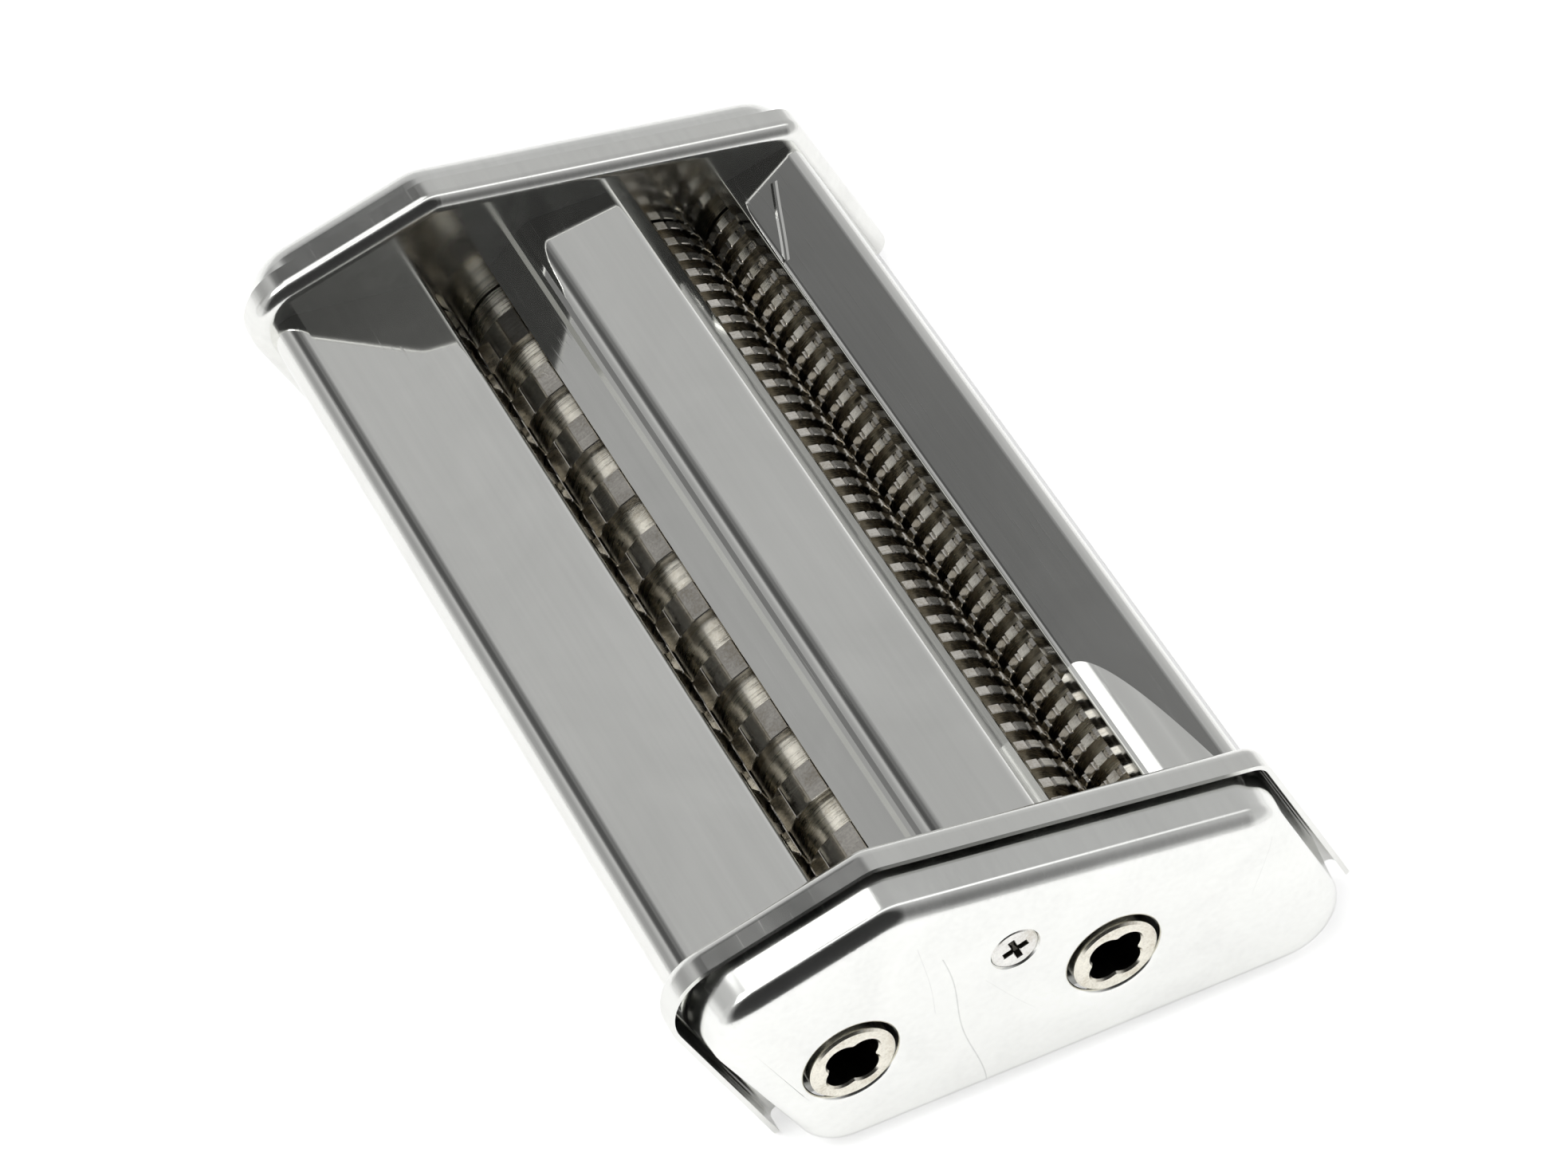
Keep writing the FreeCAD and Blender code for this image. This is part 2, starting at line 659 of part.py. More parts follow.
def comb(pair, role):
    """Stripper comb: a hub tube on its rod, with one finger in each groove of a roller."""
    label = f"{pair}_{role}_comb"
    body = new_body(label)
    sign, first = ("", 1) if role == "drive" else ("-", 0)
    middle = (sign + "hub_aside", "hub_level")
    tube = circle(body, label + "Hub", "XZ_Plane", "comb_hub_radius", middle)
    pad(body, tube, "plate_gap")
    shape = polygon(body, label + "Finger", "XZ_Plane", [
        (sign + "tip_x", "tip_z"),
        (sign + "hub_outside", "hub_level"),
        (sign + "hub_inside", "hub_level"),
        ("0", "-core_radius"),
    ])
    row_start(shape, pair, first, "Sizes.finger_gap - Sizes.disc_side_gap / 2")
    finger = pad(body, shape, f"{pair}_finger_width", CRANK)
    count = step_count(pair, first)
    repeat(body, finger, count, f"2 * {STEP[pair]} * ({count} - 1)")
    cut_through(body, circle(body, label + "Relief", "XZ_Plane", "comb_reach"))
    cut_through(body, circle(body, label + "Bore", "XZ_Plane", "rod_seat", middle))
    move(body, f"{pair}_{role}_x", "", "axis_height")
    nodes.append(body)


def gear_outline(lead):
    """Involute spur gear outline in the XZ plane, its first tooth leading +X by a part of the pitch."""
    module, teeth = number("gear_module"), int(number("gear_teeth"))
    pitch = module * teeth / 2
    tip, root = pitch + module, pitch - 1.25 * module
    base = pitch * math.cos(math.radians(number("pressure_angle")))

    def involute(radius):
        angle = math.acos(base / radius)
        return math.tan(angle) - angle

    half = (math.pi * module / 2 - number("gear_backlash") / 2) / (2 * pitch)
    flank = [base + (tip - base) * part / 3 for part in range(4)]
    angles = [half + involute(pitch) - involute(radius) for radius in flank]
    side = [(root, angles[0])] + list(zip(flank, angles))
    points = []
    for tooth in range(teeth):
        turn = 2 * math.pi * (tooth + lead) / teeth
        points += [(radius, turn - angle) for radius, angle in side]
        points += [(radius, turn + angle) for radius, angle in reversed(side)]
    ring = [V(radius * math.cos(angle), 0, radius * math.sin(angle)) for radius, angle in points]
    return Part.makePolygon(ring + ring[:1])


def gear(pair, role):
    """Spur gear on a cutter shaft; the idler's gear is turned half a tooth to mesh."""
    item = doc.addObject("Part::Feature", f"{pair}_{role}_gear")
    item.Label = f"{pair}_{role}_gear"
    width = V(0, number("gear_width"), 0)
    blank = Part.Face(gear_outline(0.5 if role == "idler" else 0)).extrude(width)
    bore = Part.makeCylinder(number("gear_seat_radius") + number("fit_gap"), width.y, V(), V(0, 1, 0))
    item.Shape = blank.cut(bore)
    item.Placement = FreeCAD.Placement()
    move(item, f"{pair}_{role}_x", "gear_start", "axis_height")
    nodes.append(item)


def clip(pair, role):
    """Open spring ring in the groove behind a gear."""
    label = f"{pair}_{role}_clip"
    body = new_body(label)
    pad(body, circle(body, label + "Rim", "XZ_Plane", "clip_radius"), "clip_width", GEAR)
    cut_through(body, circle(body, label + "Bore", "XZ_Plane", "clip_bore"))
    mouth = [("-clip_mouth", "0"), ("clip_mouth", "0"), ("clip_mouth", "clip_radius"),
             ("-clip_mouth", "clip_radius")]
    cut_through(body, polygon(body, label + "Mouth", "XZ_Plane", mouth))
    move(body, f"{pair}_{role}_x", "clip_start", "axis_height")
    nodes.append(body)


def bush(name, kind, pair, role, side):
    """Flanged bush in an end plate, turned with its collar on the outside of the web."""
    body = new_body(name)
    end = "bush_sleeve_out" if kind == "hub" else "bush_collar_out"
    corners = [
        (f"{kind}_bore", "0"),
        (f"{kind}_bush", "0"),
        (f"{kind}_bush", "plate_sheet"),
        (f"{kind}_collar", "plate_sheet"),
        (f"{kind}_collar", "bush_collar_out"),
    ]
    if kind == "hub":
        corners += [("hub_bush", "bush_collar_out"), ("hub_bush", end)]
    revolved(body, name + "Section", corners + [(f"{kind}_bore", end)])
    if side == CRANK:
        body.Placement.Rotation = FreeCAD.Rotation(V(0, 0, 1), 180)
    move(body, f"{pair}_{role}_x", "half_gap" if side == GEAR else "-half_gap", "axis_height")
    return body


def bent_sheet(label, corners, bends):
    """Sheet folded along Y between the end plates, open underneath and at both ends."""
    body = new_body(label)
    section = polygon(body, label + "Section", "XZ_Plane", corners)
    pad(body, section, "plate_gap")
    for index, radius in bends:
        round_edges(body, f"{label}Bend{index}", radius, corner_at(corners[index]))
    ends = [flat_at("y", number("half_gap")), flat_at("y", -number("half_gap"))]
    start, last = spot_of(corners[0]), spot_of(corners[-1])
    under = V((start.x + last.x) / 2, 0, (start.y + last.y) / 2)

    def is_open(face):
        return any(test(face) for test in ends) or face.CenterOfMass.distanceToPoint(under) < NEAR

    hollow(body, label + "Shell", "panel_sheet", is_open)
    nodes.append(body)


def tray(label, name, foot):
    """Feed tray with a lip at the roller slot and an outer wall along the plates' side."""
    bent_sheet(label, [
        (f"{name}_lip_x", f"{name}_lip_z"),
        (f"{name}_edge_x", f"{name}_height"),
        (f"{name}_corner_x", f"{name}_corner_z"),
        (foot, "panel_foot"),
    ], [(1, "lip_bend"), (2, f"{name}_bend")])


def rod(name, x):
    """Comb rod, riveted over on the outside of both end plates."""
    body = new_body(name)
    revolved(body, name + "Section", [
        ("0", "-rod_tip"),
        ("rod_head_radius", "-rod_tip"),
        ("rod_head_radius", "-web_outer"),
        ("rod_radius", "-web_outer"),
        ("rod_radius", "web_outer"),
        ("rod_head_radius", "web_outer"),
        ("rod_head_radius", "rod_tip"),
        ("0", "rod_tip"),
    ])
    move(body, x, "", "rod_z")
    return body


def post(name, side, x, z):
    """Threaded post that stands on the web behind a cover's dimple."""
    body = new_body(name)
    revolved(body, name + "Section", [
        ("shank_hole", "web_outer"),
        ("post_radius", "web_outer"),
        ("post_radius", "dimple_back"),
        ("shank_hole", "dimple_back"),
    ])
    if side == CRANK:
        body.Placement.Rotation = FreeCAD.Rotation(V(0, 0, 1), 180)
    move(body, x, "", z)
    return body


def screw(name, side, x, z):
    """Countersunk screw that holds a cover to its post."""
    body = new_body(name)
    revolved(body, name + "Section", [
        ("0", "cover_face"),
        ("screw_head_radius", "cover_face"),
        ("screw_radius", "head_bottom"),
        ("screw_radius", "screw_tip"),
        ("0", "screw_tip"),
    ])
    if side == CRANK:
        body.Placement.Rotation = FreeCAD.Rotation(V(0, 0, 1), 180)
    move(body, x, "", z)
    return body


end_plate("crank_side_plate", CRANK)
end_plate("gear_side_plate", GEAR)
end_cover("crank_side_cover", CRANK)
end_cover("gear_side_cover", GEAR)
tray("wide_side_tray", "left_tray", "panel_left_foot")
tray("narrow_side_tray", "right_tray", "panel_right_foot")
bent_sheet("centre_roof", [
    ("roof_left_foot", "roof_foot"),
    ("roof_left_x", "roof_height"),
    ("roof_right", "roof_height"),
    ("roof_right_x", "roof_right_z"),
    ("roof_right_x", "roof_foot"),
], [(1, "roof_bend"), (2, "roof_right_bend"), (3, "roof_right_bend")])

PAIRS = [(pair, role) for pair in ("wide", "narrow") for role in ("drive", "idler")]
for pair, role in PAIRS:
    cutter(pair, role)
    gear(pair, role)
    clip(pair, role)
    comb(pair, role)

for pair in ("wide", "narrow"):
    socket_hub(pair)
nodes.append(group("crank_socket_bushes", [
    bush(f"{pair}SocketBush", "hub", pair, "drive", CRANK) for pair in ("wide", "narrow")]))
nodes.append(group("crank_side_bushes", [
    bush(f"{pair}CrankBush", "journal", pair, "idler", CRANK) for pair in ("wide", "narrow")]))
nodes.append(group("gear_side_bushes", [
    bush(f"{pair}{role}GearBush", "journal", pair, role, GEAR) for pair, role in PAIRS]))
nodes.append(group("comb_rods", [rod(f"{pair}{role}Rod", f"{pair}_{role}_rod_x") for pair, role in PAIRS]))
nodes.append(group("cover_posts", [
    post("CrankPost", CRANK, "screw_x", "screw_height"),
    post("GearPost", GEAR, "gear_screw_x", "gear_screw_height")]))
nodes.append(group("cover_screws", [
    screw("CrankScrew", CRANK, "screw_x", "screw_height"),
    screw("GearScrew", GEAR, "gear_screw_x", "gear_screw_height")]))

# Check the whole document before anything is written
doc.recompute()
for item in doc.Objects:
    if "Invalid" in item.State or "Error" in item.State:
        raise RuntimeError(f"{item.Name} failed: {item.State}")
for node in nodes:
    if node.Shape.isNull() or not node.Shape.isValid():
        raise RuntimeError(f"{node.Label} has no valid shape")

os.makedirs("parts", exist_ok=True)
for node in nodes:
    node.Shape.exportStep(f"parts/{node.Label}.step")
    box = node.Shape.optimalBoundingBox()
    print(f"{node.Label}: {len(node.Shape.Solids)} solids, {node.Shape.Volume:.1f} mm3,",
          f"{box.XMin:.2f} {box.YMin:.2f} {box.ZMin:.2f} to {box.XMax:.2f} {box.YMax:.2f} {box.ZMax:.2f}")
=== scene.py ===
"""Looks of a double pasta cutter head: polished steel sheets, nickel-plated cutters and studio light."""
import math

import bmesh
import bpy
from mathutils import Matrix, Vector


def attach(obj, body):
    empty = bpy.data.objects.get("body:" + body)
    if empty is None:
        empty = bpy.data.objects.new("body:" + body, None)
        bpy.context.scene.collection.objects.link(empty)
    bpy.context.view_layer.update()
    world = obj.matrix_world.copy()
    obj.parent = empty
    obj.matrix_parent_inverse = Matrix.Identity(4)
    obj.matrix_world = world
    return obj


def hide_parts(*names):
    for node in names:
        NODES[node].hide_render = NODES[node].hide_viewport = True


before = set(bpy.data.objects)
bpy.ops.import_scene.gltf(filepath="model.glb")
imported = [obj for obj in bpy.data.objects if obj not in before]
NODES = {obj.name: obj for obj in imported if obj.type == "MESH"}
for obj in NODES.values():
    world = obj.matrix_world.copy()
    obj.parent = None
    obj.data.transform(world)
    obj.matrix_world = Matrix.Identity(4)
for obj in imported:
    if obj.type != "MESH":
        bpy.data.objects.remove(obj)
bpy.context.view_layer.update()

MM = 0.001

# Camera, from a fit of the photograph's disc rims, sockets and plate edges
IMAGE_WIDTH = 1967
FOCAL_PIXELS = 6864.1
SENSOR = 36.0
CLIP_START = 0.05
CLIP_END = 20
EYE = Vector((-0.232405, -0.515553, 0.636405))
RIGHT = Vector((0.898233, -0.438568, -0.028920))
DOWN = Vector((-0.340818, -0.653461, -0.675893))
FORWARD = Vector((0.277527, 0.616966, -0.736432))

# Sizes shared with the solids, in millimetres
AXIS_Z = 20.7
AXIS_X = {"wide_drive": -31.7, "wide_idler": -12.5, "narrow_drive": 10.45, "narrow_idler": 29.65}
DISC_RADIUS = 10.3
CORE_RADIUS = 8.4
HALF_LENGTH = 73.0
DISC_GAP = 0.2
COVER_FACE = 86.0
SOCKET_FACE = 86.4
SOCKET_RADIUS = 6.75
JOURNAL_RADIUS = 4.5
GEAR_SEAT_RADIUS = 4.0
GROOVE_RADIUS = 3.2
BUSH_END = 78.7
GEAR_START = 75.8
GEAR_END = 81.8
GROOVE_END = 82.7
SHAFT_END = 83.7
SHAFT_EDGE = 0.3
STEPS = {"wide": 22, "narrow": 73}
FACETS = {"wide": 20, "narrow": 26}

# Detail of the cutters, in millimetres and degrees: broken rims, notched corners and closed shaft ends
RIM_EDGE = 0.14
NOTCH_ANGLE = {"wide": 0.9, "narrow": 1.9}
NOTCH_DEPTH = {"wide": 0.25, "narrow": 0.42}
TIP_RADIUS = 0.3
CORE_MARGIN = 0.2

# Crank hub with worn lobes, in millimetres
LOBE_CORE = 3.7
LOBE_REACH = 2.3
LOBE_RADIUS = 2.5
LOBE_CHAMFER = 0.3
HUB_EDGE = 0.35
HUB_FLOOR = 0.2
HUB_POINTS = 144

# Drawn cap of the crank end, in millimetres: corners of its outline in X and Z, wall, lean and bend
CAP_CORNERS = ((-36.8, 0.0), (-57.54, 39.47), (-24.21, 49.66), (37.91, 38.48), (55.94, 0.0))
CAP_RADIUS = 10.0
CAP_WALL = 0.7
CAP_DEPTH = 10.3
CAP_BEND_START = 3.3
CAP_SKIRT_LEAN = 1.1
CAP_BEND = 4.6
CAP_STEPS = 12

# Turned-in holes of the cap: depth from the face and radius, in millimetres
SOCKET_LIP = ((0.0, 8.5), (0.05, 8.15), (0.2, 7.8), (0.45, 7.58), (0.7, 7.5))
SCREW_LIP = ((0.0, 3.95), (0.35, 3.8), (0.7, 3.5))
HOLE_POINTS = 72

# Cap screws, in millimetres: recess as depth, reach and half width of its cross, body as depth and radius
SCREW_PLACES = {"crank": (-5.7, 31.2), "gear": (-1.025, 36.5)}
SCREW_TURN = 0.35
SCREW_RECESS = ((1.3, 0.5, 0.25), (0.9, 1.5, 0.38), (0.12, 2.05, 0.5), (0.02, 2.2, 0.6))
SCREW_BODY = ((0.1, 3.4), (0.35, 3.72), (0.5, 3.36), (2.0, 2.0), (8.0, 2.0))
SCREW_POINTS = 96
RECESS_REACH = 2.2
RECESS_START = 0.12
RECESS_END = 1.4

# Angle in degrees from which an edge of a drawn piece is sharp
SHARP_ANGLE = 28

# Tints of the sheets, and the directions in which they are scratched
SHEET_TINT = (0.85, 0.852, 0.825)
COVER_TINT = (0.89, 0.895, 0.87)
SCRATCH_TURNS = ((0.2, 0.9, 0.4), (1.3, 0.3, 1.1), (0.7, -0.6, 0.2))

# Creases and a dent with its border from a start to an end in X and Y, in metres
CREASE_HEIGHT = 0.00012
FOLD_HEIGHT = 2.5 * CREASE_HEIGHT
DENT_HEIGHT = 0.0034
DENT_START = (0.0258, -0.0439)
DENT_END = (0.0346, -0.0724)
SWAY_RATE = 260.0

# Greys of the room from the horizon up
WALL_GREYS = ((0.00, 0.95), (0.10, 0.90), (0.25, 0.60), (0.45, 0.55), (0.74, 0.47), (1.00, 0.42))

# Dark places of the room: direction, edge and middle angles, share of light lost
DARK_PLACES = (
    ((-0.25, -0.80, 0.55), 60, 36, 0.93),
    ((-0.18, 0.62, 0.77), 21, 10, 0.62),
    ((-0.30, 0.62, 0.72), 12, 6, 0.50),
    ((-0.74, 0.62, 0.28), 20, 8, 0.36),
)

# Strip light over the part, along X: its edges in Y, its foot in Z and its ends in X
STRIP_EDGE = (0.06, 0.13)
STRIP_FOOT = (0.5, 0.6)
STRIP_STRENGTH = 1.0
STRIP_ENDS = ((-0.85, -0.70, 0.0, 1.0), (0.55, 0.75, 1.0, 0.0))

# Softboxes of the room: direction, edge and middle angles, strength
SOFTBOXES = (
    ((-0.224, 0.36, 0.906), 12, 9, 1.2),
    ((-0.55, 0.10, 0.83), 14, 7, 5.0),
)

# Lamps aimed at the origin: name, place, size and power
LAMPS = (
    ("key", (-0.5, -0.3, 1.1), (0.7, 0.7), 6.0),
    ("fill", (0.8, -0.4, 0.7), (0.5, 0.8), 2.0),
)

# Table top: size and drop in metres, grey, and glow toward the camera and in mirrors
FLOOR_SIZE = 6
FLOOR_DROP = 0.0003
FLOOR_GREY = 0.86
FLOOR_GLOW_SEEN = 0.5
FLOOR_GLOW_MIRRORED = 0.25


class Nodes:
    """Short way to build a node tree."""

    def __init__(self, tree):
        self.tree = tree
        tree.nodes.clear()

    def add(self, kind, inputs=None, **settings):
        node = self.tree.nodes.new(kind)
        for name, value in settings.items():
            setattr(node, name, value)
        for name, value in (inputs or {}).items():
            if isinstance(value, bpy.types.NodeSocket):
                self.tree.links.new(value, node.inputs[name])
            else:
                node.inputs[name].default_value = value
        return node

    def math(self, operation, first, second=0.0, clamp=False):
        node = self.add("ShaderNodeMath", {0: first, 1: second}, operation=operation, use_clamp=clamp)
        return node.outputs[0]

    def place(self, scale=(1, 1, 1), turn=(0, 0, 0)):
        """Object coordinates, stretched and turned."""
        coordinates = self.add("ShaderNodeTexCoord").outputs["Object"]
        mapping = self.add("ShaderNodeMapping", {"Vector": coordinates, "Scale": scale, "Rotation": turn})
        return mapping.outputs[0]

    def noise(self, vector, scale, detail=3.0, roughness=0.5, distortion=0.0):
        inputs = {"Vector": vector, "Scale": scale, "Detail": detail, "Roughness": roughness,
                  "Distortion": distortion}
        return self.add("ShaderNodeTexNoise", inputs).outputs["Fac"]

    def span(self, value, low, high, start, end):
        inputs = {"Value": value, "From Min": low, "From Max": high, "To Min": start, "To Max": end}
        return self.add("ShaderNodeMapRange", inputs).outputs[0]

    def ramp(self, value, stops):
        node = self.add("ShaderNodeValToRGB", {"Fac": value})
        ramp = node.color_ramp
        while len(ramp.elements) < len(stops):
            ramp.elements.new(0.5)
        for element, (position, colour) in zip(ramp.elements, stops):
            element.position = position
            element.color = (*colour, 1)
        return node.outputs["Color"]

    def bump(self, height, distance, strength=1.0, normal=None):
        inputs = {"Height": height, "Distance": distance, "Strength": strength}
        if normal is not None:
            inputs["Normal"] = normal
        return self.add("ShaderNodeBump", inputs).outputs["Normal"]

    def surface(self, **inputs):
        names = {key.replace("_", " "): value for key, value in inputs.items()}
        shader = self.add("ShaderNodeBsdfPrincipled", names)
        self.add("ShaderNodeOutputMaterial", {"Surface": shader.outputs[0]})


def new_material(name):
    """Empty material and the builder of its node tree."""
    material = bpy.data.materials.new(name)
    material.use_nodes = True
    return material, Nodes(material.node_tree)


def shaded(tint, share):
    """Tint made darker or paler by a share."""
    return tuple(min(1.0, value * share) for value in tint)


def steel_sheet(name, tint, rough, scratch, marks=(), creases=()):
    """Polished stainless sheet: rolled grain along Y, fine scratches, smears, long marks and creases."""
    material, n = new_material(name)
    grain = n.noise(n.place((900, 25, 900)), 1.0, 2.0)
    smear = n.noise(n.place((1, 0.6, 1)), 55.0, 3.0, 0.6, 0.8)
    lines = 0.0
    for turn in SCRATCH_TURNS:
        streaks = n.noise(n.place((2400, 70, 2400), turn), 1.0, 1.0)
        lines = n.math("ADD", n.span(streaks, 0.70, 0.75, 0, 1), lines, True)
    worn = 0.0
    for mark in marks:
        worn = n.math("ADD", worn, mark(n), True)
    shade = n.math("ADD", n.span(smear, 0.3, 0.7, -0.03, 0.03), n.span(grain, 0.2, 0.8, -0.02, 0.02))
    shade = n.math("SUBTRACT", shade, n.math("MULTIPLY", lines, scratch * 0.12))
    level = n.math("SUBTRACT", n.math("ADD", shade, 0.5), n.math("MULTIPLY", worn, 0.2))
    stops = [(0.20, shaded(tint, 0.45)), (0.38, shaded(tint, 0.84)), (0.54, shaded(tint, 1.05))]
    colour = n.ramp(level, stops)
    smeared = n.span(smear, 0.3, 0.75, rough, rough * 1.7)
    roughness = n.math("ADD", smeared, n.math("MULTIPLY", lines, scratch))
    normal = n.bump(grain, 0.00002, 0.15)
    normal = n.bump(lines, 0.00003, scratch, normal)
    for crease, height in creases:
        normal = n.bump(crease(n), height, 1.0, normal)
    n.surface(Base_Color=colour, Metallic=1.0, Roughness=roughness, Normal=normal)
    return material


def end_dent(n):
    """Fall of the narrow side tray at its near end, inside a curved border."""
    place = n.add("ShaderNodeSeparateXYZ", {"Vector": n.place()}).outputs
    aside = n.span(place["X"], DENT_START[0], DENT_END[0], 0.0, 1.0)
    drop = n.math("MULTIPLY", n.math("MULTIPLY", aside, aside), DENT_END[1] - DENT_START[1])
    border = n.math("ADD", drop, DENT_START[1])
    return n.span(n.math("SUBTRACT", border, place["Y"]), 0.0, DENT_START[1] - DENT_END[1], 0.0, -1.0)


def line_mark(across, along, start, end, slope, sway, width, strength=1.0):
    """Mark that runs along one axis between two places, leaning and swaying across another."""

    def draw(n):
        place = n.add("ShaderNodeSeparateXYZ", {"Vector": n.place()}).outputs
        run = place[along]
        lean = n.math("MULTIPLY", n.math("SUBTRACT", run, start), slope)
        wave = n.math("MULTIPLY", n.math("SINE", n.math("MULTIPLY", run, SWAY_RATE)), sway)
        middle = n.math("ADD", n.math("ADD", lean, wave), across[1])
        off = n.math("ABSOLUTE", n.math("SUBTRACT", place[across[0]], middle))
        near = n.span(off, width * 0.3, width, 1.0, 0.0)
        inside = n.math("MULTIPLY", n.math("GREATER_THAN", run, start), n.math("LESS_THAN", run, end))
        return n.math("MULTIPLY", n.math("MULTIPLY", near, inside), strength)

    return draw


def turned_steel(name, tint, rough, stretch=0.0):
    """Turned and plated steel: fine rings about Y that can stretch its highlights, and faint stains."""
    material, n = new_material(name)
    rings = n.noise(n.place((60, 2600, 60)), 1.0, 3.0, 0.6)
    stain = n.noise(n.place(), 240.0, 3.0, 0.55)
    speck = n.noise(n.place(), 2600.0, 2.0, 0.5)
    level = n.math("ADD", n.math("MULTIPLY", stain, 0.6), n.math("MULTIPLY", speck, 0.4))
    dark = (tint[0] * 0.80, tint[1] * 0.77, tint[2] * 0.72)
    colour = n.ramp(level, [(0.36, dark), (0.52, tint), (0.68, shaded(tint, 1.15))])
    turned = n.span(rings, 0.3, 0.7, rough * 0.6, rough * 1.3)
    roughness = n.math("ADD", turned, n.span(stain, 0.3, 0.7, 0, 0.06))
    normal = n.bump(rings, 0.00005, 0.4)
    normal = n.bump(speck, 0.00002, 0.2, normal)
    tangent = n.add("ShaderNodeTangent", direction_type="RADIAL", axis="Y").outputs[0]
    n.surface(Base_Color=colour, Metallic=1.0, Roughness=roughness, Normal=normal, Anisotropic=stretch,
              Anisotropic_Rotation=0.25, Tangent=tangent)
    return material


def moulded_plastic(name, tint, rough):
    """Moulded plastic with a fine spark-eroded grain and slight mottling."""
    material, n = new_material(name)
    grain = n.noise(n.place(), 2200.0, 2.0)
    mottle = n.noise(n.place(), 90.0, 3.0)
    colour = n.ramp(mottle, [(0.35, shaded(tint, 0.86)), (0.65, shaded(tint, 1.12))])
    roughness = n.span(mottle, 0.3, 0.7, rough * 0.85, rough * 1.15)
    n.surface(Base_Color=colour, Roughness=roughness, Normal=n.bump(grain, 0.00005, 0.3))
    return material


# Materials of the sheets, with the marks and creases that the photograph shows
TRAY_CREASE = line_mark(("X", 0.02575), "Y", 0.0522, 0.0680, 0.36, 0.0001, 0.0006)
ROOF_FOLD = line_mark(("X", -0.0116), "Y", -0.09, 0.09, 0.0, 0.0, 0.0009)
COVER_MARKS = (
    line_mark(("X", -0.0101), "Z", 0.001, 0.0355, -0.21, 0.0005, 0.00016, 0.7),
    line_mark(("X", -0.0185), "Z", 0.024, 0.0400, -0.15, 0.0003, 0.00009, 0.35),
    line_mark(("X", -0.0020), "Z", 0.016, 0.0270, -0.80, 0.0004, 0.00008, 0.35),
    line_mark(("X", 0.0330), "Z", 0.022, 0.0330, 0.25, 0.0002, 0.00008, 0.35),
)
PLATE = steel_sheet("pressed_plate", SHEET_TINT, 0.12, 0.05)
SHEET = steel_sheet("polished_sheet", SHEET_TINT, 0.05, 0.05)
TRAY = steel_sheet("creased_tray", SHEET_TINT, 0.05, 0.05,
                   creases=((TRAY_CREASE, CREASE_HEIGHT), (end_dent, DENT_HEIGHT)))
ROOF = steel_sheet("folded_roof", SHEET_TINT, 0.05, 0.05, creases=((ROOF_FOLD, FOLD_HEIGHT),))
COVER = steel_sheet("scratched_cover", COVER_TINT, 0.12, 0.06, marks=COVER_MARKS)

# Materials of the turned and moulded pieces
CUTTER = turned_steel("cutter_steel", (0.76, 0.73, 0.67), 0.09)
# Darker copy of the brushed core: painted shade for the deep slots between the narrow discs
NARROW_CORE_PAINTED_SHADE = turned_steel("narrow_core_painted_shade", (0.30, 0.275, 0.22), 0.25, 0.6)
CORE = turned_steel("brushed_core", (0.68, 0.65, 0.57), 0.27, 0.85)
RING = turned_steel("socket_steel", (0.80, 0.77, 0.68), 0.20)
GEAR = turned_steel("gear_steel", (0.46, 0.45, 0.43), 0.30)
SPRING = turned_steel("spring_steel", (0.22, 0.22, 0.23), 0.30)
ROD = turned_steel("rod_steel", (0.62, 0.62, 0.61), 0.20)
SCREW = turned_steel("screw_steel", (0.78, 0.77, 0.74), 0.22)
# Near-black tint: painted shade for the screw's cross recess and the hub's bore
PAINTED_SHADE_RECESS = turned_steel("recess_painted_shade", (0.07, 0.065, 0.055), 0.35)
COMB = moulded_plastic("comb_plastic", (0.62, 0.62, 0.60), 0.45)
BUSH = moulded_plastic("bush_plastic", (0.10, 0.10, 0.105), 0.5)

# Material of each CAD node, by the last word of its name
FINISH = {
    "plate": PLATE,
    "cover": COVER,
    "tray": SHEET,
    "roof": ROOF,
    "cutter": CUTTER,
    "hub": RING,
    "gear": GEAR,
    "clip": SPRING,
    "comb": COMB,
    "bushes": BUSH,
    "rods": ROD,
    "posts": ROD,
    "screws": SCREW,
}


def dress(node, material):
    """Give a CAD node one material in all its slots."""
    mesh = node.data
    mesh.materials.clear()
    mesh.materials.append(material)


def dress_nodes():
    """Dress every CAD node; the tray with the dent has a material of its own."""
    for name, node in NODES.items():
        dress(node, FINISH[name.split("_")[-1]])
    dress(NODES["narrow_side_tray"], TRAY)


def finished_piece(name, shape, material):
    """Object made from a drawn shape, smooth but for its sharp edges."""
    mesh = bpy.data.meshes.new(name)
    bmesh.ops.recalc_face_normals(shape, faces=shape.faces)
    shape.to_mesh(mesh)
    shape.free()
    mesh.shade_smooth()
    mesh.set_sharp_from_angle(angle=math.radians(SHARP_ANGLE))
    mesh.materials.append(material)
    piece = bpy.data.objects.new(name, mesh)
    bpy.context.scene.collection.objects.link(piece)
    return piece


def bridge(shape, rows):
    """Faces between each closed row of points and the next."""
    for near, far in zip(rows, rows[1:]):
        for index in range(len(near)):
            shape.faces.new((near[index - 1], near[index], far[index], far[index - 1]))


def loft(name, rings, material):
    """Closed mesh from rings of (place along Y, radius for each angle); the ends are flat."""
    shape = bmesh.new()
    rows = []
    for place, radii in rings:
        row = [shape.verts.new((radius * MM * math.cos(angle), place * MM, radius * MM * math.sin(angle)))
               for angle, radius in radii]
        rows.append(row)
    bridge(shape, rows)
    for row, turn in ((rows[0], 1), (rows[-1], -1)):
        shape.faces.new(row[::turn])
    return finished_piece(name, shape, material)


def even_angles(count):
    """Angles of a full turn, from half a step on."""
    return [2 * math.pi * (index + 0.5) / count for index in range(count)]


def paint_inside(piece, material, reach, start, end):
    """Give a second material to the faces inside a radius, between two places along Y."""
    piece.data.materials.append(material)
    for face in piece.data.polygons:
        within = math.hypot(face.center.x, face.center.z) < reach * MM
        if within and start * MM < face.center.y < end * MM:
            face.material_index = 1


